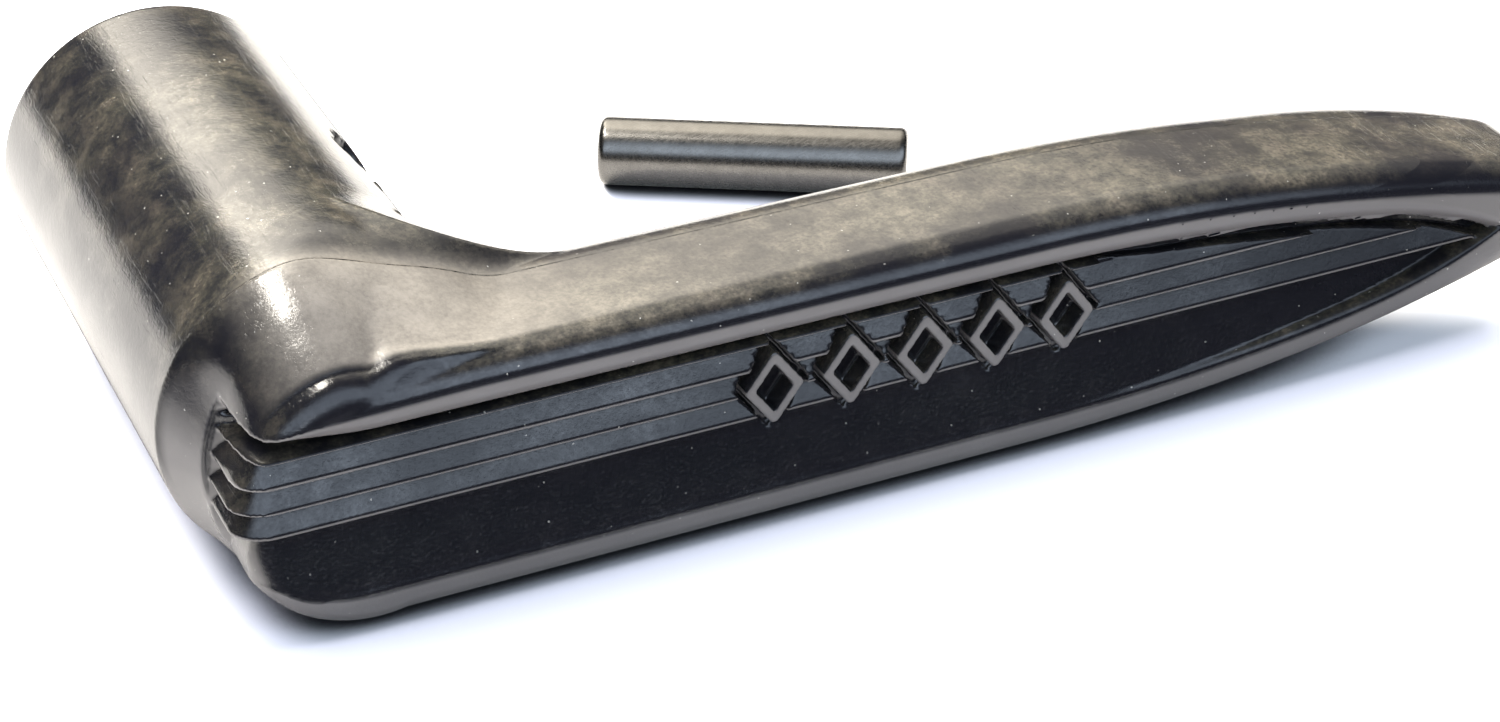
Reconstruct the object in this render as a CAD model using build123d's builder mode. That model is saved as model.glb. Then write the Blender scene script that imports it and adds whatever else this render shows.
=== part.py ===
from build123d import *
import os
from math import cos, hypot, radians, sin, sqrt

# Under-dash parking brake pull handle: one black moulded handle (round socket
# barrel plus ribbed, bullet-shaped arm) and the plain steel cross pin that
# fastens it to the brake rod.
#
# Frame: origin on the socket axis at the open mouth.  +Y leaves the mouth, so
# the ribbed front faces -Y.  +X runs along the arm to its tip, +Z is up as the
# handle lies on a bench.

ARC_MID = sqrt(0.5)    # middle of a unit quarter arc, along either axis

# socket barrel
BARREL_R = 13.3
MOUTH_ROUND = 0.8
BORE_R = 8.0           # socket for a 5/8 in rod
BORE_DEPTH = 38.0
PART_Y = -46.5         # moulding parting plane, where the barrel starts to taper
TAPER_SETBACK = 1.6    # the taper stops this far behind the front face
TAPER_INSET = 0.35     # and this far inside the rounded end of the arm

# arm
ARM_HALF = 10.65                # half height
ARM_MID = ARM_HALF - BARREL_R   # middle line, underside level with the barrel
BACK_Y = -41.2
FRONT_Y = -57.8
NOSE_X = 55.0          # where the bullet nose starts
TIP_X = 108.0
TIP_R = 4.2
BACK_ROUND = 3.9       # rounding of the back edges
FRONT_ROUND = 2.15     # rounding of the front edges and of the brow above the ribs

# curved gusset between the barrel and the back of the arm
ROOT_FILLET = 8.5      # radius in plan
BARREL_SIDE = 12.0     # X where the fillet leaves the barrel
GUSSET_Z = (-6.5, 5.0) # height range
GUSSET_OVERLAP = 1.0   # how far it reaches into the arm

# ribbed front pocket
POCKET_TIP_X = 100.0
POCKET_TIP_R = 2.0
BROW_Z = 5.85          # top of the pocket at the front face
SLOT_Y = -54.4         # floor of the deep slot under the brow
SLOT_RISE = 0.25       # slot floor ends this far above the first rib crest
RIDGE_Y = -57.0        # rib crests
RIDGE_Z = (3.1, 0.95, -1.2, -3.3)
CREST_DEPTH = 0.05     # each blunt crest falls back this much
CREST_DROP = 0.12      # over this height
ROOT_Y = -55.9         # rib roots
ROOT_DROP = 0.3        # height of a root below its crest
PANEL_Y = -56.45       # middle of the hollow lower panel
LIP_Z = -10.0          # where the lower lip starts
CORNER_X = -7.2        # centre of the rounded front corner
CORNER_Y = -54.3
RUNOUT_Y = -51.0       # the ribs run out here on the end of the handle
CUT_CLEAR = 3.0        # how far cutting shapes pass the faces they cut
TRIM_END_X = -20.0     # open end of the pocket trim, clear of the handle
TRIM_DEPTH = 20.0

# raised pattern on the front: five open lozenges
LOZ_X = (32.4, 39.0, 45.4, 51.8, 58.1)
LOZ_Z = -0.8
LOZ_W = 4.9
LOZ_H = 6.6
LOZ_STROKE_X = 0.996   # thickness of the outline, measured along X
LOZ_STROKE_Z = 1.3408  # and along Z
LOZ_FACE_Y = -57.2
LOZ_FLOOR_Y = -55.4
LOZ_EMBED = 0.3        # depth of the lozenges into the floor
LOZ_PAD = 0.55         # clear gap round each lozenge, square to its sides

# cross pin and its hole
PIN_R = 3.175          # 1/4 in diameter
PIN_LEN = 28.575       # 1-1/8 in
PIN_CHAMFER = 0.5
PIN_FIT = 0.05         # radial clearance in the handle
HOLE_R = PIN_R + PIN_FIT
HOLE_Y = -23.2
HOLE_TILT = 31.0       # the hole climbs this much from +X towards +Z
HOLE_CLEAR = 3.0       # extra length of the hole cutter at each end
FLARE_R = 4.3          # flared mouth of the hole on the upper side
FLARE_DEPTH = 1.1
FLARE_OVER = 0.4       # extra length and radius of the flare cutter outside the wall
PIN_AT = (54.1, -6.7)  # middle of the loose pin on the bench, behind the arm
PIN_YAW = -29.6        # its direction, turned from +X about +Z


def front_plane(y):
    """Plane across the socket axis at y, facing forward (-Y)."""
    return Plane.XZ.offset(-y)


def hole_plane(along):
    """Plane square to the cross hole, a distance along it from the socket axis."""
    run, rise = cos(radians(HOLE_TILT)), sin(radians(HOLE_TILT))
    return Plane(
        origin=(along * run, HOLE_Y, along * rise),
        x_dir=(0, 1, 0),
        z_dir=(run, 0, rise),
    )


def nose_side(half_height, tip_x, tip_r, side):
    """Points (x, z) on one side (1 up, -1 down) of a bullet nose: shoulder, a
    point on the long arc, its tangent join with the tip arc, and the tip."""
    run = tip_x - tip_r - NOSE_X
    long_r = (run**2 / (half_height - tip_r) + half_height + tip_r) / 2
    centre_z = half_height - long_r    # the long arc is centred at NOSE_X
    scale = tip_r / (long_r - tip_r)
    join = (tip_x - tip_r + run * scale, -centre_z * scale)
    mid_x = (NOSE_X + join[0]) / 2
    mid = (mid_x, centre_z + sqrt(long_r**2 - (mid_x - NOSE_X) ** 2))
    points = [(NOSE_X, half_height), mid, join, (tip_x, 0.0)]
    return [(x, ARM_MID + side * z) for x, z in points]


def draw_nose(top, low):
    """Draw the nose from the upper shoulder round the tip to the lower one."""
    ThreePointArc(top[0], top[1], top[2])
    ThreePointArc(top[2], top[3], low[2])
    ThreePointArc(low[2], low[1], low[0])


def draw_pocket_outline():
    """Draw, in (y, z), everything cut away in front of the ribs: brow
    underside, deep slot, four saw-tooth ribs, hollow panel, lower lip."""
    brow_in = (FRONT_Y + FRONT_ROUND, BROW_Z - FRONT_ROUND)
    brow_mid = (
        FRONT_Y + FRONT_ROUND * (1 - ARC_MID),
        BROW_Z - FRONT_ROUND * ARC_MID,
    )
    ribs = [brow_in, (SLOT_Y, brow_in[1]), (SLOT_Y, RIDGE_Z[0] + SLOT_RISE)]
    for z in RIDGE_Z:
        ribs += [
            (RIDGE_Y, z),
            (RIDGE_Y + CREST_DEPTH, z - CREST_DROP),
            (ROOT_Y, z - ROOT_DROP),
        ]
    last_root = ribs[-1]
    brow = (FRONT_Y, BROW_Z)
    lip = (FRONT_Y, LIP_Z)
    outside_y = FRONT_Y - CUT_CLEAR

    ThreePointArc(brow, brow_mid, brow_in)
    Polyline(*ribs)
    ThreePointArc(last_root, (PANEL_Y, (last_root[1] + LIP_Z) / 2), lip)
    Polyline(lip, (outside_y, LIP_Z), (outside_y, BROW_Z), brow)


def make_pocket():
    """Cutting shape of the ribbed front pocket."""
    with BuildPart() as pocket:
        # straight run along the arm
        with BuildSketch(Plane.YZ.offset(CORNER_X)):
            with BuildLine():
                draw_pocket_outline()
            make_face()
        extrude(amount=POCKET_TIP_X + CUT_CLEAR - CORNER_X)

        # round the front corner
        with BuildSketch(Plane.YZ.offset(CORNER_X)):
            with BuildLine():
                draw_pocket_outline()
            make_face()
        revolve(axis=Axis((CORNER_X, CORNER_Y, 0), (0, 0, -1)), revolution_arc=90)

        # back along the end of the handle to where the ribs run out
        end_plane = Plane(
            origin=(CORNER_X - CORNER_Y, CORNER_Y, 0),
            x_dir=(1, 0, 0),
            z_dir=(0, -1, 0),
        )
        with BuildSketch(end_plane):
            with BuildLine():
                draw_pocket_outline()
            make_face()
        extrude(amount=CORNER_Y - RUNOUT_Y)

        # trim: narrows to a small nose at the tip, open at the -X end
        with BuildSketch(front_plane(RUNOUT_Y + CUT_CLEAR)):
            with BuildLine():
                top = nose_side(BROW_Z - ARM_MID, POCKET_TIP_X, POCKET_TIP_R, 1)
                low = nose_side(ARM_MID - LIP_Z, POCKET_TIP_X, POCKET_TIP_R, -1)
                Line((TRIM_END_X, BROW_Z), top[0])
                draw_nose(top, low)
                Polyline(low[0], (TRIM_END_X, LIP_Z), (TRIM_END_X, BROW_Z))
            make_face()
        extrude(amount=TRIM_DEPTH, mode=Mode.INTERSECT)
    return pocket.part


def lozenge(width, height):
    """Corners of a lozenge centred on the origin."""
    return [(0, height / 2), (-width / 2, 0), (0, -height / 2), (width / 2, 0)]


def make_handle():
    """Moulded handle: arm, barrel, gusset, socket, cross hole and front detail."""
    pocket = make_pocket()

    with BuildPart() as handle:
        # arm: bullet outline drawn on the back face and pulled forward
        with BuildSketch(front_plane(BACK_Y)):
            with BuildLine():
                top = nose_side(ARM_HALF, TIP_X, TIP_R, 1)
                low = nose_side(ARM_HALF, TIP_X, TIP_R, -1)
                end_top = (0, ARM_MID + ARM_HALF)
                end_low = (0, ARM_MID - ARM_HALF)
                Line(end_top, top[0])
                draw_nose(top, low)
                Line(low[0], end_low)
                ThreePointArc(end_low, (-ARM_HALF, ARM_MID), end_top)
            make_face()
        extrude(amount=BACK_Y - FRONT_Y)
        fillet(faces().sort_by(Axis.Y)[0].edges(), radius=FRONT_ROUND)
        fillet(faces().sort_by(Axis.Y)[-1].edges(), radius=BACK_ROUND)

        # socket barrel, full round down to the parting plane
        with BuildSketch(Plane.XZ):
            Circle(BARREL_R)
        extrude(amount=-PART_Y)

        # tapering shoulder from the barrel down to the front outline
        with BuildSketch(front_plane(PART_Y)):
            Circle(BARREL_R)
        with BuildSketch(front_plane(FRONT_Y + TAPER_SETBACK)):
            with Locations((0, ARM_MID)):
                Circle(ARM_HALF - TAPER_INSET)
        loft(ruled=True)

        # gusset where the back of the arm meets the barrel
        arc_x = BARREL_SIDE + ROOT_FILLET
        arc_y = BACK_Y + ROOT_FILLET
        arm_end = (arc_x, BACK_Y)
        barrel_end = (BARREL_SIDE, arc_y)
        reach = ARC_MID * ROOT_FILLET
        with BuildSketch(Plane.XY.offset(GUSSET_Z[0])):
            with BuildLine():
                Polyline(
                    arm_end,
                    (arc_x, BACK_Y - GUSSET_OVERLAP),
                    (0, BACK_Y - GUSSET_OVERLAP),
                    (0, arc_y),
                    barrel_end,
                )
                ThreePointArc(barrel_end, (arc_x - reach, arc_y - reach), arm_end)
            make_face()
        extrude(amount=GUSSET_Z[1] - GUSSET_Z[0])

        # mouth rim, rounded before the bore adds a second circle there
        rim = edges().filter_by(GeomType.CIRCLE).sort_by(Axis.Y)[-1]
        fillet(rim, radius=MOUTH_ROUND)

        # blind socket for the rod
        with BuildSketch(Plane.XZ):
            Circle(BORE_R)
        extrude(amount=BORE_DEPTH, mode=Mode.SUBTRACT)

        # cross hole for the pin, right through both walls
        with BuildSketch(hole_plane(-BARREL_R - HOLE_CLEAR)):
            Circle(HOLE_R)
        extrude(amount=2 * (BARREL_R + HOLE_CLEAR), mode=Mode.SUBTRACT)

        # flared mouth of the hole on the upper side
        with BuildSketch(hole_plane(BARREL_R - FLARE_DEPTH)):
            Circle(HOLE_R)
        with BuildSketch(hole_plane(BARREL_R + FLARE_OVER)):
            Circle(FLARE_R + FLARE_OVER)
        loft(ruled=True, mode=Mode.SUBTRACT)

        add(pocket, mode=Mode.SUBTRACT)

        # a small clearing between the ribs for each lozenge
        centres = [(x, LOZ_Z) for x in LOZ_X]
        diagonal = hypot(LOZ_W, LOZ_H)
        pad_w = LOZ_W + 2 * LOZ_PAD * diagonal / LOZ_H
        pad_h = LOZ_H + 2 * LOZ_PAD * diagonal / LOZ_W
        with BuildSketch(front_plane(LOZ_FLOOR_Y)):
            with Locations(*centres):
                Polygon(*lozenge(pad_w, pad_h))
        extrude(amount=LOZ_FLOOR_Y - FRONT_Y, mode=Mode.SUBTRACT)

        # raised open lozenges
        inner_w = LOZ_W - 2 * LOZ_STROKE_X
        inner_h = LOZ_H - 2 * LOZ_STROKE_Z
        with BuildSketch(front_plane(LOZ_FLOOR_Y + LOZ_EMBED)):
            with Locations(*centres):
                Polygon(*lozenge(LOZ_W, LOZ_H))
            with Locations(*centres):
                Polygon(*lozenge(inner_w, inner_h), mode=Mode.SUBTRACT)
        extrude(amount=LOZ_FLOOR_Y + LOZ_EMBED - LOZ_FACE_Y)
    return handle.part


def make_pin():
    """Chamfered cross pin, lying loose on the bench."""
    yaw = radians(PIN_YAW)
    across = Plane(
        origin=(*PIN_AT, PIN_R - BARREL_R),
        x_dir=(0, 0, 1),
        z_dir=(cos(yaw), sin(yaw), 0),
    )
    with BuildPart() as pin:
        with BuildSketch(across.offset(-PIN_LEN / 2)):
            Circle(PIN_R)
        extrude(amount=PIN_LEN)
        chamfer(edges().filter_by(GeomType.CIRCLE), length=PIN_CHAMFER)
    return pin.part


os.makedirs("parts", exist_ok=True)
for name, make in (("handle_moulding", make_handle), ("cross_pin", make_pin)):
    part = make()
    part.label = name
    export_step(part, f"parts/{name}.step")
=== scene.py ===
"""A moulded black plastic handle with a steel cross pin, lying on a pale table.

The barrel runs along y, centred on x = z = 0, with its open mouth at y = 0. At its front end
(-y) it turns through a shoulder into a flat arm that runs along +x and ends in a rounded tip.
The arm's front face carries a pocket: a brow above, four ribs, a hollow panel and a lower lip.
Shape sizes are in mm; the scene, its materials and its lights are in metres. +z is up.
"""

import math

import bmesh
import bpy
import numpy as np
import openvdb
from mathutils import Matrix, Vector


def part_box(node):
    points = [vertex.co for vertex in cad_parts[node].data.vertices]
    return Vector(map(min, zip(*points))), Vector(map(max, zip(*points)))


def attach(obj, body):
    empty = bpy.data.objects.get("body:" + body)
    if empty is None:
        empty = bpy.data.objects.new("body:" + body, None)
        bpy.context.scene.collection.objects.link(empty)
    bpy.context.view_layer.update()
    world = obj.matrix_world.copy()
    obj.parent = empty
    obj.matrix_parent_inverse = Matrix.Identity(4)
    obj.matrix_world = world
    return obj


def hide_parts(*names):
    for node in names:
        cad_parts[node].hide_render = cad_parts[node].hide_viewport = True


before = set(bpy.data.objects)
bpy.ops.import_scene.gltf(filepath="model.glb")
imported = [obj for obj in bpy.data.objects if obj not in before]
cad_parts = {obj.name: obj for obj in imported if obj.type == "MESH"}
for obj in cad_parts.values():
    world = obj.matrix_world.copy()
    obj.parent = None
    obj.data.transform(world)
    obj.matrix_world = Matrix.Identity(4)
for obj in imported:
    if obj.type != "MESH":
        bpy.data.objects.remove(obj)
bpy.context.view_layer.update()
MM = 0.001

# ------------------------------------------------------------------ dimensions (mm)
BARREL_R = 13.3
MOUTH_EDGE_R = 0.8
PARTING_Y = -46.5                    # parting line, where the shoulder starts
SHOULDER_LEN = 9.1
SHOULDER_EDGE_R = 2.7
BASE_Z = -13.29                      # flat underside

# arm: straight flanks, then a long arc on each side to a small tip radius
ARM_HALF, ARM_MID = 10.65, -2.65     # half height, and z of the centre line
FRONT_Y, BACK_Y = -57.8, -41.2
ARM_SPLIT_Y = -50.0                  # front edge radii apply before it, back ones behind
TAPER_X, TIP_X, TIP_R = 55.0, 108.0, 4.2
EDGE_R = 3.3                         # lower front edge
UPPER_EDGE_DEPTH = 3.3               # upper front edge, its radius along y
TAPER_RUN = TIP_X - TIP_R - TAPER_X
TAPER_R = (TAPER_RUN * TAPER_RUN / (ARM_HALF - TIP_R) + ARM_HALF + TIP_R) / 2
RAMP_X, RAMP_Z = 0.35, 0.936         # direction the crown's ramp faces, towards the arm

# pocket in the front face; depths are measured forwards from its corner line
POCKET_X, POCKET_Y = -7.2, -54.3
POCKET_BACK_Y = -50.2
BROW_R, BROW_Z = 2.15, 5.85
LIP_Z, LIP_EDGE_R, LIP_EDGE_DEPTH = -10.0, 0.9, 2.6
RIDGES_Z = (3.1, 0.95, -1.2, -3.3)
RIDGE_Y, ROOT_Y = -57.0, -55.85
LOZENGES_X = (32.4, 39.0, 45.4, 51.8, 58.1)
LOZENGE_Z, LOZENGE_W, LOZENGE_H = -0.8, 4.9, 6.6
LOZENGE_FRONT_Y, LOZENGE_BACK_Y = -57.25, -54.0

BORE_R, BORE_END_Y = 8.0, -38.0
PIN_R, PIN_LEN, PIN_EDGE_R = 3.175, 28.575, 0.7
PIN_YAW = -29.6                      # degrees about z
HOLE_Y, HOLE_TILT = -23.2, 31.0      # tilt in degrees, rising towards +x
HOLE_R = PIN_R + 0.05

# shallow dents in the top: x, y, radius, depth
DENTS = ((1.7, -50.4, 1.3, 0.07), (38.0, -47.5, 1.0, 0.02), (71.0, -51.0, 1.3, 0.02))

# field grid: voxel size, extents in x, y and z, clipping distance, x layers per slab
VOXEL = 0.2
EXTENTS = ((-14.4, 109.2), (-58.8, 1.0), (-14.4, 14.4))
BAND = 3.0
SLAB = 48


# ------------------------------------------------------------------ distance field
# x, y, z have shapes (n,1,1), (1,m,1), (1,1,k); distances are negative inside.
def smax(a, b, k):
    """Maximum, smoothed over a width k."""
    h = np.clip(0.5 + 0.5 * (a - b) / k, 0, 1)
    return b + (a - b) * h + k * h * (1 - h)


def smin(a, b, k):
    return -smax(-a, -b, k)


def step(a, b, x):
    """Smooth step from 0 at a to 1 at b; a may be the larger."""
    t = np.clip((x - a) / (b - a), 0, 1)
    return t * t * (3 - 2 * t)


def rounded_corner(a, b, radius):
    """Intersection of two half-spaces with a rounded edge."""
    a, b = a + radius, b + radius
    return (np.hypot(np.maximum(a, 0), np.maximum(b, 0))
            + np.minimum(np.maximum(a, b), 0) - radius)


def corner_depth(dx, dy):
    """Distance outwards from the pocket's corner line, round its left end."""
    return np.where((dx > 0) & (dy > 0), np.hypot(dx, dy), np.maximum(dx, dy))


def segment(px, pz, ax, az, bx, bz):
    """Distance from p to the segment a-b."""
    dx, dz = bx - ax, bz - az
    t = np.clip(((px - ax) * dx + (pz - az) * dz) / (dx * dx + dz * dz), 0, 1)
    return np.hypot(px - ax - t * dx, pz - az - t * dz)


def circle(x, z, centre_x, centre_z, radius):
    """Distance to a circle, and the outward direction."""
    reach = np.hypot(x - centre_x, z - centre_z)
    safe = np.maximum(reach, 1e-6)
    return reach - radius, (x - centre_x) / safe, (z - centre_z) / safe


def arm_outline(x, z):
    """Distance to the arm's outline seen from the front, and its outward direction."""
    height = np.abs(z - ARM_MID)
    arc_z = ARM_HALF - TAPER_R
    left = circle(x, height, 0.0, 0.0, ARM_HALF)
    flank = height - ARM_HALF, 0.0, 1.0
    arc = circle(x, height, TAPER_X, arc_z, TAPER_R)
    tip = circle(x, height, TIP_X - TIP_R, 0.0, TIP_R)
    # the tip takes over beyond the line through the arc's centre and the tip's
    beyond = (x - TAPER_X) * (0 - arc_z) - (height - arc_z) * TAPER_RUN
    on_tip = (x > TAPER_X) & (beyond > 0)
    distance, out_x, out_z = (
        np.where(on_tip, t, np.where(x < 0, l, np.where(x < TAPER_X, f, a)))
        for l, f, a, t in zip(left, flank, arc, tip))
    return distance, out_x, out_z * np.sign(z - ARM_MID)


def outline_drop(x):
    """How far the arm's outline has come in from full height."""
    t = np.clip(x - TAPER_X, 0, None)
    return t * t / (2 * TAPER_R) * (1 + 0.25 * np.clip((x - 85) / 15, 0, 1.5) ** 2)


def rib_depth(z):
    """Depth of the ribs and the panel below them, at height z."""
    ridge, root = POCKET_Y - RIDGE_Y, POCKET_Y - ROOT_Y
    # z, depth: from under the brow to the first ridge
    points = [(5.2, 0.0), (3.55, 0.1), (3.35, 1.9), (RIDGES_Z[0], ridge)]
    for i, ridge_z in enumerate(RIDGES_Z):
        if i:
            points += [(ridge_z + 0.10, ridge - 0.04), (ridge_z, ridge)]
        root_rise = 0.02 if i < len(RIDGES_Z) - 1 else -0.05
        points += [(ridge_z - 0.14, ridge - 0.10), (ridge_z - 0.32, root + root_rise)]
    # hollow lower panel
    points += [(-3.9, 1.22), (-4.4, 1.36), (-9.4, 3.26), (-9.8, 3.42), (-10.2, 3.5),
               (-14.0, 3.5)]
    heights, depths = np.array(points[::-1]).T
    return np.interp(z, heights, depths)


def arm_field(x, y, z):
    """The arm, with what the blend needs: edge offset, its length and the direction."""
    outline, out_x, out_z = arm_outline(x, z)
    # both faces draw in towards the tip
    back = BACK_Y - 3.2 * np.clip((x - 84) / (TIP_X - 84), 0, 1.2) ** 2
    front = FRONT_Y + 0.7 * np.clip((x - 80) / (TIP_X - 80), 0, 1.2) ** 2
    # edge radii, across the outline and along the depth; rounder at the back
    is_back = y > ARM_SPLIT_Y
    left = step(10.0, -4.0, x)
    upper = step(-0.35, 0.35, out_z)
    back_r = 3.6 + 1.6 * np.clip((100 - x) / 20, 0, 1)
    side_r = np.where(is_back, back_r, EDGE_R + (BROW_R + 0.4 * left - EDGE_R) * upper)
    depth_r = np.where(is_back, back_r,
                       EDGE_R + (UPPER_EDGE_DEPTH + 0.6 * left - EDGE_R) * upper)
    side = outline + side_r
    depth = np.where(is_back, y - back, front - y) + depth_r
    side_out, depth_out = np.maximum(side, 0), np.maximum(depth, 0)
    # elliptical edge: level divided by its gradient
    level = np.hypot(side_out / side_r, depth_out / depth_r)
    slope = (np.hypot(side_out / side_r ** 2, depth_out / depth_r ** 2)
             / np.maximum(level, 1e-6))
    arm = np.where(level > 1e-4, (level - 1) / np.maximum(slope, 1e-6),
                   np.maximum(side - side_r, depth - depth_r))
    return arm, side_out, np.hypot(side_out, depth_out), out_x, out_z


def barrel_field(x, y, z, near_arm):
    """The barrel and the shoulder that tapers from it, with its radial direction."""
    t = np.clip((PARTING_Y - y) / SHOULDER_LEN, 0, 1)
    taper = t ** 1.35
    up = z - ARM_MID * taper
    reach = np.maximum(np.hypot(x, up), 1e-6)
    high = step(-0.1, 0.8, up / reach)
    end = step(0.60, 0.93, -x / reach)
    taper = taper + (t ** 1.15 - taper) * high
    # the left end tapers quickly to the ribs
    end_taper = 1 - np.clip(1 - t / 0.52, 0, 1) ** 1.25
    taper = taper + (1.10 * end_taper - taper) * end
    # the radius shrinks as the centre drops, down to the arm's half height
    radius = BARREL_R + ARM_MID * taper
    # the crown stays a little higher than the arm
    squash = 1 - 0.066 * taper * high * (1 - end)
    barrel = np.hypot(x, up * squash) - radius
    # towards the arm the crown runs down as a nearly straight ramp
    ramp = RAMP_X * x + RAMP_Z * up * squash - radius * 0.922 - 2.1 * (1 - near_arm)
    barrel = np.where((x > -7) & (z > 0) & (y < -39.0), smax(barrel, ramp, 1.0), barrel)
    barrel = np.where(y > -5, rounded_corner(barrel, y, MOUTH_EDGE_R), barrel)
    shoulder = rounded_corner(barrel, (FRONT_Y + 0.12) - y, SHOULDER_EDGE_R)
    return np.where(y < -46, shoulder, barrel), x / reach, up / reach


def solid_field(x, y, z):
    """Arm and barrel joined by a fillet, with the parting step, flat base and dents."""
    near_arm = step(-39.5, -47.0, y)
    arm, side_out, edge_reach, out_x, out_z = arm_field(x, y, z)
    barrel, radial_x, radial_z = barrel_field(x, y, z, near_arm)
    on_ramp = near_arm * step(0.0, 3.0, x) * step(0.0, 3.0, z)
    radial_x = radial_x + (RAMP_X - radial_x) * on_ramp
    radial_z = radial_z + (RAMP_Z - radial_z) * on_ramp
    # the fillet grows where the surfaces cross at an angle and dies out to the front
    aligned = (side_out * (out_x * radial_x + out_z * radial_z)
               / np.maximum(edge_reach, 1e-4))
    crossing = np.clip(1.12 * (1 - aligned), 0, 1) * step(-1.0, 5.0, x)
    upper = step(-1.0, 3.0, z)
    zone = step(-57.6, -54.4, y) * (upper + (1 - upper) * step(-53.0, -47.0, y))
    fillet = 0.02 + 9.0 * np.clip(3.2 * crossing + 0.15 * on_ramp, 0, 1) * zone
    body = (np.maximum(fillet, np.minimum(arm, barrel))
            - np.hypot(np.maximum(fillet - arm, 0), np.maximum(fillet - barrel, 0)))
    # in front of the parting line the surface sits a hair proud
    proud = (step(PARTING_Y + 0.12, PARTING_Y - 0.12, y) * step(-52.5, -50.5, y)
             * step(-9.0, -4.0, z) * step(12.0, 8.0, x))
    body = body - 0.07 * proud
    body = np.maximum(body, BASE_Z - z)
    for dent_x, dent_y, radius, depth in DENTS:
        dent = depth * np.exp(-(((x - dent_x) ** 2 + (y - dent_y) ** 2) / radius ** 2))
        body = body + np.where(z > 6, dent, 0)
    # small dimple low on the front, near the left end
    dimple = 0.22 * np.exp(-(((x + 3.6) / 1.1) ** 2 + ((z + 8.9) / 0.9) ** 2))
    return body + dimple * (y < -54)


def brow_field(depth, brow_z):
    start = POCKET_Y - (FRONT_Y + BROW_R)
    nose = np.hypot(depth - start, np.minimum(brow_z - BROW_Z, 0)) - BROW_R
    brow = np.where(depth > start, nose, -(brow_z - (BROW_Z - BROW_R)))
    return np.where(brow_z > BROW_Z, -1.0, brow)


def lip_field(depth, lip_z):
    above = lip_z - (LIP_Z - 0.1)
    edge = np.hypot(depth - LIP_EDGE_DEPTH, np.maximum(above, 0)) - LIP_EDGE_R
    lip = np.where(depth > LIP_EDGE_DEPTH, edge, lip_z - (LIP_Z + 0.8))
    return np.where(lip_z < LIP_Z - 0.1, -1.0, lip)


def rib_field(dx, dy, y, z):
    """The ribs, carried round the left end."""
    # scale x so that the ribs meet the left end's outline at each height
    end_x = np.maximum(np.sqrt(np.clip(ARM_HALF ** 2 - (z - ARM_MID) ** 2, 1, None)),
                       np.sqrt(np.clip(10.40 ** 2 - (z + 1.02) ** 2, 1, None)))
    stretch = 2.7 / np.clip(end_x + POCKET_X - 0.04, 2.2, 3.6)
    surface = rib_depth(z)
    slope = np.gradient(surface.ravel(), z.ravel()).reshape(surface.shape)
    # round the left end the grooves run out towards the back
    runout = 2.72 - np.where(z > 3.15, 2.0, 0.85) * np.clip(POCKET_BACK_Y - y, 0, 9)
    surface = np.where(dx > 0, np.maximum(surface, runout), surface)
    depth = corner_depth(dx * np.where(dx > 0, stretch, 1.0), dy)
    return (depth - surface) / np.sqrt(1 + np.minimum(slope ** 2, 6.0))


def lozenge_fields(x, y, z):
    """The clearance cut round each lozenge, and the raised lozenge outlines."""
    across = np.abs(x - np.array(LOZENGES_X)).min(axis=2, keepdims=True)
    height = np.abs(z - LOZENGE_Z)
    diamond = ((across * LOZENGE_H / 2 + height * LOZENGE_W / 2 - LOZENGE_W * LOZENGE_H / 4)
               / math.hypot(LOZENGE_W / 2, LOZENGE_H / 2))
    clearance = np.maximum(diamond - 0.55, y + 55.4)
    outline = segment(across, height, 0.0, LOZENGE_H / 2 - 0.5, LOZENGE_W / 2 - 0.38, 0.0)
    raised = smax(outline - 0.40, LOZENGE_FRONT_Y - y, 0.12)
    return clearance, np.maximum(raised, y - LOZENGE_BACK_Y)


def pocket_field(x, y, z):
    """What is left standing in the pocket."""
    dx, dy = POCKET_X - x, POCKET_Y - y
    depth = corner_depth(dx * np.where(dx > 0, 1.7, 1.0), dy)
    # brow and lip follow the arm's taper; the brow lifts a little at the corner
    drop = outline_drop(x)
    brow_z = z + drop * 1.04 - 0.8 * step(1.0, -8.0, x)
    brow = brow_field(depth, brow_z)
    lip = lip_field(depth, z - drop * 0.98)
    ribs = rib_field(dx, dy, y, z)
    clearance, lozenges = lozenge_fields(x, y, z)
    ribs = np.maximum(ribs, -clearance)
    # a slot under the brow follows it across the ribs, wider towards the tip
    half = 0.2 + 0.3 * step(57.0, 68.0, x)
    ribs = np.maximum(ribs, -np.maximum(np.abs(brow_z - (3.7 - half)) - half, 1.0 - depth))
    front = smin(np.minimum(np.minimum(brow, lip), 9.0), ribs, 0.12)
    front = smin(front, lozenges, 0.15)
    return np.minimum(front, np.where(x < POCKET_X + 3, POCKET_BACK_Y - y, 99.0))


def hole_field(x, y, z, radial):
    """The tilted cross hole, with a chipped rim on its upper side."""
    cos_tilt, sin_tilt = math.cos(math.radians(HOLE_TILT)), math.sin(math.radians(HOLE_TILT))
    along = x * cos_tilt + z * sin_tilt
    across = -x * sin_tilt + z * cos_tilt
    dy = y - HOLE_Y
    angle = np.arctan2(across, dy)
    chips = (0.42 + 0.20 * np.sin(3 * angle + 0.7) + 0.15 * np.sin(7 * angle + 2.1)
             + 0.09 * np.sin(13 * angle))
    near_skin = np.clip((radial - 11.9) / 1.4, 0, 1.0) * (along > 6)
    hole = np.hypot(dy, across) - HOLE_R - chips * near_skin ** 1.6 * 1.2
    # torn skin running from the hole towards the arm
    tear = np.hypot((dy + 4.6) * 0.34,
                    across - 0.9 + 0.10 * (dy + 4.6) + 0.25 * np.sin(2.3 * dy))
    tear = np.maximum(tear - 0.80 * near_skin, 12.75 - radial)
    return np.where(along > 6, np.minimum(hole, tear), hole)


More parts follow.
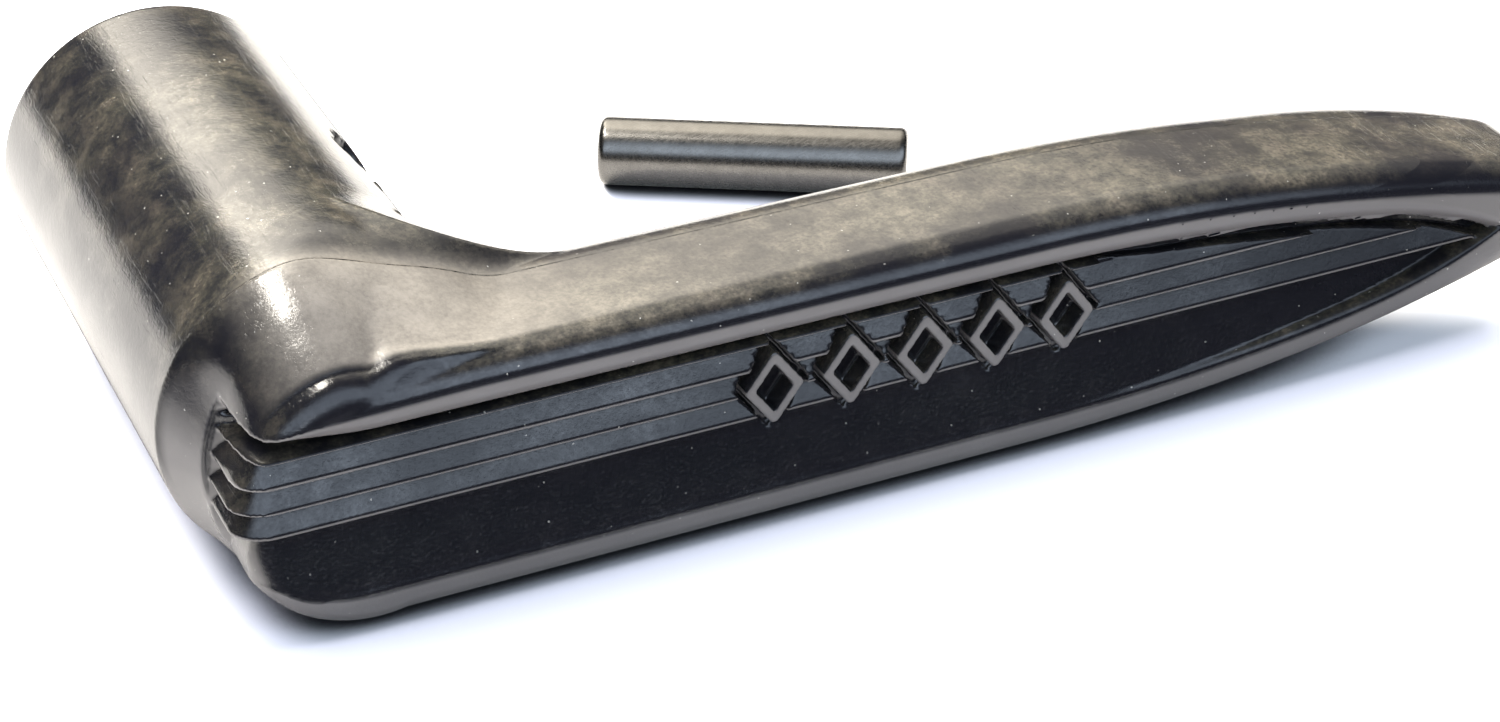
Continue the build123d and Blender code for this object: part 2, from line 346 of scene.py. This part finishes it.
def handle_field(x, y, z):
    body = smax(solid_field(x, y, z), pocket_field(x, y, z), 0.10)
    radial = np.hypot(x, z)
    bore = np.maximum(radial - BORE_R, BORE_END_Y - y)
    body = smax(body, -bore, 0.12)
    return np.maximum(body, -hole_field(x, y, z, radial))


# ------------------------------------------------------------------ meshes
def add_object(name, data):
    ob = bpy.data.objects.new(name, data)
    bpy.context.scene.collection.objects.link(ob)
    return ob


def shade_smooth(mesh):
    mesh.polygons.foreach_set("use_smooth", np.ones(len(mesh.polygons), dtype=bool))


def polygonise_handle():
    """Sample the field slab by slab; return points in mm, triangles and quads."""
    xs, ys, zs = (np.arange(low, high + VOXEL, VOXEL) for low, high in EXTENTS)
    grid = openvdb.FloatGrid()
    grid.background = BAND
    for i in range(0, len(xs), SLAB):
        f = handle_field(xs[i:i + SLAB, None, None], ys[None, :, None], zs[None, None, :])
        f = np.clip(f, -BAND, BAND).astype(np.float32)
        grid.copyFromArray(np.ascontiguousarray(f), ijk=(i, 0, 0), tolerance=0.0)
    points, tris, quads = grid.convertToPolygons(isovalue=0.0, adaptivity=0.0)
    points = points.astype(np.float64) * VOXEL + np.array([xs[0], ys[0], zs[0]])
    return points, np.asarray(tris), np.asarray(quads)


def make_handle():
    points, tris, quads = polygonise_handle()
    mesh = bpy.data.meshes.new("moulded_handle")
    tri_count, quad_count = len(tris), len(quads)
    mesh.vertices.add(len(points))
    mesh.vertices.foreach_set("co", (points / 1000.0).astype(np.float32).ravel())
    loops = np.concatenate([tris.ravel(), quads.ravel()]).astype(np.int32)
    mesh.loops.add(len(loops))
    mesh.loops.foreach_set("vertex_index", loops)
    starts = np.concatenate([np.arange(tri_count) * 3,
                             tri_count * 3 + np.arange(quad_count) * 4]).astype(np.int32)
    mesh.polygons.add(tri_count + quad_count)
    mesh.polygons.foreach_set("loop_start", starts)
    mesh.update(calc_edges=True)
    mesh.validate()
    shade_smooth(mesh)
    return add_object("moulded_handle", mesh)


def pin_profile():
    """(radius, distance along the pin): flat ends, rounded edges, straight shank."""
    end = [(radius, 0.0) for radius in (0.0, 1.2, 2.0, 2.40)]
    end += [(PIN_R - PIN_EDGE_R + PIN_EDGE_R * math.sin(a), PIN_EDGE_R - PIN_EDGE_R * math.cos(a))
            for a in np.linspace(0.05, math.pi / 2, 11)]
    end += [(PIN_R, along) for along in (1.1, 1.8, 3.0)]
    return end + [(PIN_R, PIN_LEN / 2)] + [(r, PIN_LEN - along) for r, along in reversed(end)]


def make_pin(segments=128):
    """Turned pin, centred in the box of the piece it replaces."""
    low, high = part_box("cross_pin")
    yaw = math.radians(PIN_YAW)
    axis = Vector((math.cos(yaw), math.sin(yaw), 0))
    up = Vector((0, 0, 1))
    side = axis.cross(up)
    centre = Vector([(a + b) * 500 for a, b in zip(low, high)])
    start = centre - axis * (PIN_LEN / 2)
    verts, faces, rings = [], [], []
    for radius, along in pin_profile():
        count = segments if radius else 1
        rings.append(range(len(verts), len(verts) + count))
        for k in range(count):
            a = 2 * math.pi * k / segments
            verts.append((start + axis * along + up * (radius * math.cos(a))
                          + side * (radius * math.sin(a))) / 1000)
    for ring, following in zip(rings, rings[1:]):
        for k in range(segments):
            k2 = (k + 1) % segments
            if len(ring) == 1:
                faces.append((ring[0], following[k2], following[k]))
            elif len(following) == 1:
                faces.append((ring[k], ring[k2], following[0]))
            else:
                faces.append((ring[k], ring[k2], following[k2], following[k]))
    mesh = bpy.data.meshes.new("steel_cross_pin")
    mesh.from_pydata(verts, [], faces)
    mesh.validate()
    bm = bmesh.new()
    bm.from_mesh(mesh)
    bmesh.ops.recalc_face_normals(bm, faces=bm.faces)
    bm.to_mesh(mesh)
    bm.free()
    shade_smooth(mesh)
    return add_object("steel_cross_pin", mesh)


# ------------------------------------------------------------------ node graphs
class Graph:
    """Short calls for building a node tree; inputs may be values or sockets."""

    def __init__(self, tree):
        self.tree = tree

    def put(self, node, inputs):
        for key, value in inputs.items():
            if isinstance(value, bpy.types.NodeSocket):
                self.tree.links.new(value, node.inputs[key])
            else:
                node.inputs[key].default_value = value

    def node(self, kind, inputs=None, **props):
        node = self.tree.nodes.new("ShaderNode" + kind)
        for name, value in props.items():
            setattr(node, name, value)
        self.put(node, inputs or {})
        return node

    def math(self, operation, *values, clamp=False):
        return self.node("Math", dict(enumerate(values)),
                         operation=operation, use_clamp=clamp).outputs[0]

    def mul(self, product, *factors, clamp=False):
        for factor in factors:
            product = self.math("MULTIPLY", product, factor, clamp=clamp)
        return product

    def add(self, a, b):
        return self.math("ADD", a, b)

    def scaled(self, value, gain, offset, clamp=False):
        return self.math("MULTIPLY_ADD", value, gain, offset, clamp=clamp)

    def max(self, a, b):
        return self.math("MAXIMUM", a, b)

    def inverse(self, value):
        return self.math("SUBTRACT", 1.0, value)

    def within(self, value, centre, half_width):
        """1 where value is closer to centre than half_width; centre is at or below 0."""
        distance = self.math("ABSOLUTE", self.add(value, -centre))
        return self.math("LESS_THAN", distance, half_width)

    def smooth(self, value, start, end):
        """Smooth step from 0 at start to 1 at end."""
        return self.node("MapRange", {0: value, 1: start, 2: end},
                         interpolation_type="SMOOTHSTEP").outputs[0]

    def split(self, vector):
        return tuple(self.node("SeparateXYZ", {0: vector}).outputs)

    def noise(self, vector, **inputs):
        return self.node("TexNoise", {"Vector": vector, **inputs}).outputs[0]

    def ramp(self, value, *stops):
        """Colour ramp through (position, grey) stops."""
        node = self.node("ValToRGB", {0: value})
        elements = node.color_ramp.elements
        while len(elements) < len(stops):
            elements.new(0.5)
        for element, (position, grey) in zip(elements, stops):
            element.position = position
            element.color = (grey, grey, grey, 1)
        return node.outputs[0]

    def mix(self, factor, a, b):
        return self.node("Mix", {0: factor, 6: a, 7: b}, data_type="RGBA").outputs[2]


class Material(Graph):
    """A material with one Principled shader, textured in object coordinates."""

    def __init__(self, name):
        self.material = bpy.data.materials.new(name)
        self.material.use_nodes = True
        super().__init__(self.material.node_tree)
        self.tree.nodes.clear()
        output = self.node("OutputMaterial")
        self.shader = self.node("BsdfPrincipled")
        self.put(output, {0: self.shader.outputs[0]})
        self.coords = self.node("TexCoord").outputs["Object"]

    def finish(self, **inputs):
        """Set shader inputs; underscores stand for spaces."""
        self.put(self.shader, {key.replace("_", " "): v for key, v in inputs.items()})
        return self.material


# ------------------------------------------------------------------ black plastic
# place is (x, y, z) in metres, normal its direction, grain the (big, mid, fine) noises
def dust_and_painted_sheen_mask(m, normal, mottle):
    """Thin mottled film, partly dust and partly painted sheen: more on faces that look up, fading
    on those that look forwards.
    """
    facing_up = m.scaled(normal[2], 0.5, 0.5, clamp=True)
    dust_and_sheen = m.mul(mottle, m.math("POWER", facing_up, 2.4), clamp=True)
    return m.mul(dust_and_sheen, m.smooth(normal[1], -0.80, -0.45))


def painted_crown_sheen_mask(m, place, normal, grain):
    """Painted sheen on the crown and, fading, on the arm's top; beige and mottled."""
    x, y, _ = place
    big, mid, fine = grain
    painted_sheen = m.mul(m.smooth(y, -0.0440, -0.0475), m.smooth(normal[2], 0.35, 0.60),
                  m.smooth(y, -0.0555, -0.0548))
    fade = m.add(m.mul(m.smooth(x, 0.024, 0.004), 0.62),     # close to the barrel
                 m.mul(m.smooth(x, 0.070, 0.020), 0.18))     # along the arm
    painted_sheen = m.mul(painted_sheen, m.add(fade, 0.10), m.scaled(big, 0.9, 0.45),
                  m.smooth(x, -0.0085, -0.0015))
    speckle = m.add(m.mul(fine, 0.75), m.scaled(mid, 0.7, 0.28))
    return m.mul(m.mul(painted_sheen, speckle), 1.0, clamp=True)


def painted_rim_reflection_and_lozenge_mask(m, place, normal):
    """Painted reflection of the pale table on the brow's and lip's front faces that turn
    downwards, and on the left end; lighter lozenge faces.
    """
    x, y, z = place
    out_x, out_y, out_z = normal
    brow = m.mul(m.max(m.smooth(y, -0.0555, -0.0570), m.smooth(x, -0.0070, -0.0085)),
                 m.smooth(out_z, 0.12, -0.25))
    lip = m.mul(m.smooth(y, -0.0562, -0.0572), m.smooth(out_z, 0.22, -0.05),
                m.max(m.smooth(out_z, -0.48, -0.26), m.smooth(z, 0.0, 0.002)))
    end = m.mul(m.smooth(out_x, -0.45, -0.8),
                m.mul(m.smooth(y, PARTING_Y * MM, -0.0475), m.smooth(out_z, 0.45, 0.0)))
    lozenges = m.mul(m.math("LESS_THAN", y, -0.05712), m.within(z, LOZENGE_Z * MM, 0.0037))
    lozenges = m.mul(lozenges, m.mul(m.math("GREATER_THAN", x, 0.0295),
                                     m.math("LESS_THAN", x, 0.0610)))
    lozenges = m.mul(lozenges, m.smooth(out_y, -0.75, -0.97))
    return m.mul(m.max(m.max(m.max(brow, lip), end), lozenges), 0.9)


def plastic_specular(m, place, normal, mottle):
    """Specular level: mottled, and dulled region by region."""
    x, y, z = place
    out_z = normal[2]
    grazing = m.node("LayerWeight", {"Blend": 0.5}).outputs["Facing"]
    underside = m.smooth(out_z, -0.30, -0.50)
    # upward faces in the slot under the brow
    slot_z = m.math("ABSOLUTE", m.math("SUBTRACT", z, 0.0036))
    slot = m.mul(m.math("LESS_THAN", slot_z, 0.0006), m.math("LESS_THAN", y, -0.0515),
                 m.smooth(out_z, 0.45, 0.70))
    far_front = m.mul(m.smooth(x, 0.056, 0.092), m.smooth(y, -0.0535, -0.0550))
    arm_top = m.mul(m.smooth(out_z, 0.90, 0.985), m.smooth(x, 0.000, 0.014))
    gloss = m.scaled(mottle, 0.42, 0.36)
    for region, change in ((underside, -0.85), (slot, -0.9), (far_front, -0.55),
                           (arm_top, -0.48)):
        gloss = m.mul(gloss, m.scaled(region, change, 1.0))
    return m.mul(gloss, m.inverse(m.smooth(grazing, 0.70, 0.96)))


def plastic_bump(m, mid, fine, parting):
    """Grain, thin streaked scratches and the sunk parting line."""
    streaked = m.node("Mapping", {0: m.coords, "Scale": (9.0, 0.7, 9.0),
                                  "Rotation": (0.2, 0.1, 0.5)}).outputs[0]
    scratches = m.noise(streaked, Scale=380.0, Detail=2.0, Distortion=0.4)
    scratches = m.ramp(scratches, (0.60, 0), (0.64, 1), (0.68, 0))
    height = m.add(m.mul(mid, 0.32), m.mul(fine, 0.50))
    height = m.add(height, m.mul(scratches, -0.09))
    height = m.add(height, m.mul(parting, -1.2))
    return m.node("Bump", {"Strength": 0.55, "Distance": 0.00006, "Height": height}).outputs[0]


def plastic():
    m = Material("black_plastic_painted_sheen")
    place = m.split(m.coords)
    normal = m.split(m.node("NewGeometry").outputs["Normal"])
    big = m.noise(m.coords, Scale=95.0, Detail=6.0, Roughness=0.62)
    mid = m.noise(m.coords, Scale=420.0, Detail=5.0, Roughness=0.7)
    fine = m.noise(m.coords, Scale=2600.0, Detail=3.0, Roughness=0.7)
    grain = big, mid, fine
    mottle = m.mul(m.ramp(big, (0.40, 0.08), (0.60, 1)), m.ramp(mid, (0.36, 0.2), (0.64, 1)),
                   m.ramp(fine, (0.35, 0.45), (0.65, 1.2)))
    cells = m.node("TexVoronoi", {"Vector": m.coords, "Scale": 900.0, "Randomness": 1.0})
    dust = m.mul(m.math("LESS_THAN", cells.outputs["Distance"], 0.075),
                 m.math("GREATER_THAN", fine, 0.55))
    parting = m.mul(m.within(place[1], PARTING_Y * MM, 0.00009),
                    m.ramp(mid, (0.42, 0.15), (0.6, 1)))
    # layers of colour, from the bare plastic up: a film that is partly dust and partly painted
    # sheen, painted sheen on the crown, painted reflection of the table on the rims and left end
    # with lighter lozenge faces, dust specks and the dark parting line
    dust_and_sheen_tint = m.mix(mid, (0.042, 0.048, 0.026, 1), (0.095, 0.074, 0.056, 1))
    colour = (0.0065, 0.0066, 0.0085, 1)
    for mask, tint in ((dust_and_painted_sheen_mask(m, normal, mottle), dust_and_sheen_tint),
                       # painted sheen on the crown, beige
                       (painted_crown_sheen_mask(m, place, normal, grain), (0.175, 0.156, 0.125, 1)),
                       # painted reflection of the table on rims and left end; lighter lozenge
                       # faces
                       (painted_rim_reflection_and_lozenge_mask(m, place, normal), (0.105, 0.098, 0.092, 1)),
                       (m.mul(dust, 0.75), (0.32, 0.31, 0.27, 1)),
                       (parting, (0.004, 0.004, 0.003, 1))):
        colour = m.mix(mask, colour, tint)
    return m.finish(
        Base_Color=colour,
        Roughness=m.add(m.add(m.mul(mid, 0.13), m.mul(big, 0.11)), 0.06),
        IOR=1.52,
        Specular_IOR_Level=plastic_specular(m, place, normal, mottle),
        Normal=plastic_bump(m, mid, fine, parting))


# ------------------------------------------------------------------ pin steel and table
def steel():
    m = Material("pin_steel")
    streaked = m.node("Mapping", {0: m.coords, "Scale": (0.35, 7.0, 7.0)}).outputs[0]
    streaks = m.noise(streaked, Scale=900.0, Detail=4.0)
    stains = m.noise(m.coords, Scale=700.0, Detail=5.0, Roughness=0.7)
    bump = m.node("Bump", {"Strength": 0.10, "Distance": 0.00003, "Height": streaks})
    return m.finish(
        Base_Color=m.mix(stains, (0.085, 0.082, 0.078, 1), (0.16, 0.155, 0.148, 1)),
        Metallic=1.0,
        Roughness=m.add(m.mul(streaks, 0.22), 0.16),
        Normal=bump.outputs[0])


def table_surface():
    """Pale, with a painted shadow darkening it close under the object; mirror rays see it darker,
    a painted shade, most so in front (-y).
    """
    m = Material("pale_table")
    in_front = m.smooth(m.split(m.coords)[1], -0.072, -0.105)
    # painted shade seen by mirror rays, darkest in front
    mirror_painted_shade = m.mix(in_front, (0.62, 0.60, 0.55, 1), (0.05, 0.05, 0.055, 1))
    openness = m.node("AmbientOcclusion", {"Distance": 0.0045}, samples=12).outputs["AO"]
    # painted shadow where the table is closed in by the object
    painted_contact_shadow = m.smooth(openness, 0.62, 0.20)
    direct = m.mix(painted_contact_shadow, (0.86, 0.86, 0.88, 1), (0.02, 0.02, 0.022, 1))
    is_glossy = m.node("LightPath").outputs["Is Glossy Ray"]
    return m.finish(Base_Color=m.mix(is_glossy, direct, mirror_painted_shade), Roughness=0.7)


def make_table(half=1.6, z=-0.01331):
    mesh = bpy.data.meshes.new("table")
    corners = [(-half, -half, z), (half, -half, z), (half, half, z), (-half, half, z)]
    mesh.from_pydata(corners, [], [(0, 1, 2, 3)])
    table = add_object("table", mesh)
    mesh.materials.append(table_surface())
    return table


# ------------------------------------------------------------------ world
def make_world():
    world = bpy.data.worlds.new("studio")
    world.use_nodes = True
    bpy.context.scene.world = world
    w = Graph(world.node_tree)
    degree = math.pi / 180
    x, y, z = w.split(w.node("TexCoord").outputs["Generated"])
    azimuth = w.math("ARCTAN2", x, y)          # 0 behind the object, + to the right
    elevation = w.math("ARCSINE", z)

    def rise(angle, start, end):
        return w.smooth(angle, start * degree, end * degree)

    # a long soft window behind the object, brightest at its left end
    past_left = w.max(w.add(azimuth, 5 * degree), 0.0)
    decay = w.math("POWER", 2.718, w.mul(past_left, -1 / (24 * degree)))
    window = w.mul(w.scaled(decay, 11.0, 0.8), rise(azimuth, -13, -4),
                   w.inverse(rise(azimuth, 55, 95)),
                   rise(elevation, 19, 31), w.inverse(rise(elevation, 66, 82)))
    # a dim cool wall in front
    forward = w.math("SUBTRACT", 0.0, y)
    wall = w.mul(w.smooth(forward, 0.25, 0.65), rise(elevation, 17, 29), 3.2)

    def tinted(colour, strength):
        return w.node("VectorMath", {0: colour, "Scale": strength}, operation="SCALE").outputs[0]

    def total(a, b):
        return w.node("VectorMath", {0: a, 1: b}, operation="ADD").outputs[0]

    sky = total(tinted((1.0, 0.93, 0.80), window), tinted((0.72, 0.84, 1.0), wall))
    sky = total(sky, (0.035, 0.036, 0.042))
    # the camera sees a plain pale backdrop instead
    is_camera = w.node("LightPath").outputs["Is Camera Ray"]
    backdrop = w.mix(is_camera, sky, (0.93, 0.93, 0.95, 1))
    w.put(world.node_tree.nodes["Background"], {0: backdrop, 1: 1.0})


# ------------------------------------------------------------------ lights and camera
def frame_matrix(x_axis, y_axis, z_axis, origin):
    return Matrix([*zip(x_axis, y_axis, z_axis, origin), (0, 0, 0, 1)])


def area(name, size, power, color, size_y=None):
    light = bpy.data.lights.new(name, "AREA")
    light.energy = power
    light.color = color
    light.size = size
    if size_y:
        light.shape = "RECTANGLE"
        light.size_y = size_y
    return add_object(name, light)


def point_at(ob, position, target):
    ob.location = position
    direction = Vector(target) - Vector(position)
    ob.rotation_euler = direction.to_track_quat("-Z", "Y").to_euler()


def bearing(azimuth, elevation, distance=0.8):
    """Position seen from (0.02, -0.03, 0); azimuth 0 is behind, + to the right, in degrees."""
    a, e = math.radians(azimuth), math.radians(elevation)
    return (0.02 + distance * math.sin(a) * math.cos(e),
            -0.03 + distance * math.cos(a) * math.cos(e), distance * math.sin(e))


def place_corner_light(light):
    """Lay the strip's length between two directions, facing the shoulder."""
    target = Vector((-0.003, -0.05, 0.01))
    start = Vector((-0.152, 0.556, 0.814)) * 0.8
    end = Vector((-0.248, 0.012, 0.979)) * 0.8
    position = (start + end) / 2 + target
    z_axis = (position - target).normalized()
    y_axis = (end - start).normalized()
    y_axis = (y_axis - z_axis * y_axis.dot(z_axis)).normalized()
    light.matrix_world = frame_matrix(y_axis.cross(z_axis), y_axis, z_axis, position)


def make_lights():
    ceiling = area("ceiling", size=2.4, size_y=1.4, power=60.0, color=(0.86, 0.86, 1.0))
    point_at(ceiling, (0.0, 0.38, 1.3), (0.0, 0.38, 0.0))
    ceiling.visible_glossy = False
    key = area("key_back", size=0.45, size_y=0.30, power=34.0, color=(1.0, 0.97, 0.92))
    point_at(key, bearing(-3, 33, 0.9), (0.03, -0.03, 0))
    key.visible_glossy = False
    corner = area("corner", size=0.10, size_y=0.46, power=8.0, color=(1.0, 0.95, 0.86))
    place_corner_light(corner)
    corner.visible_diffuse = False
    spark = area("front_cool", size=0.06, power=0.16, color=(0.8, 0.88, 1.0))
    point_at(spark, bearing(202, 21), (0.0, -0.05, 0))
    spark.visible_diffuse = False


def make_camera():
    data = bpy.data.cameras.new("camera")
    data.sensor_width = 36.0
    data.lens = 76.824
    data.clip_start = 0.01
    camera = add_object("camera", data)
    camera.matrix_world = frame_matrix(
        x_axis=(0.907002, -0.421127, -0.000641),
        y_axis=(0.222870, 0.478714, 0.849212),
        z_axis=(-0.357319, -0.770380, 0.528051),
        origin=(-0.0566718, -0.244698, 0.1306898))
    bpy.context.scene.camera = camera


# ------------------------------------------------------------------ build
handle = make_handle()
handle.data.materials.append(plastic())
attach(handle, "handle")
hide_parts("handle_moulding")

pin = make_pin()
pin.data.materials.append(steel())
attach(pin, "pin")
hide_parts("cross_pin")

make_table()
make_world()
make_lights()
make_camera()
bpy.context.scene.view_settings.view_transform = "Standard"
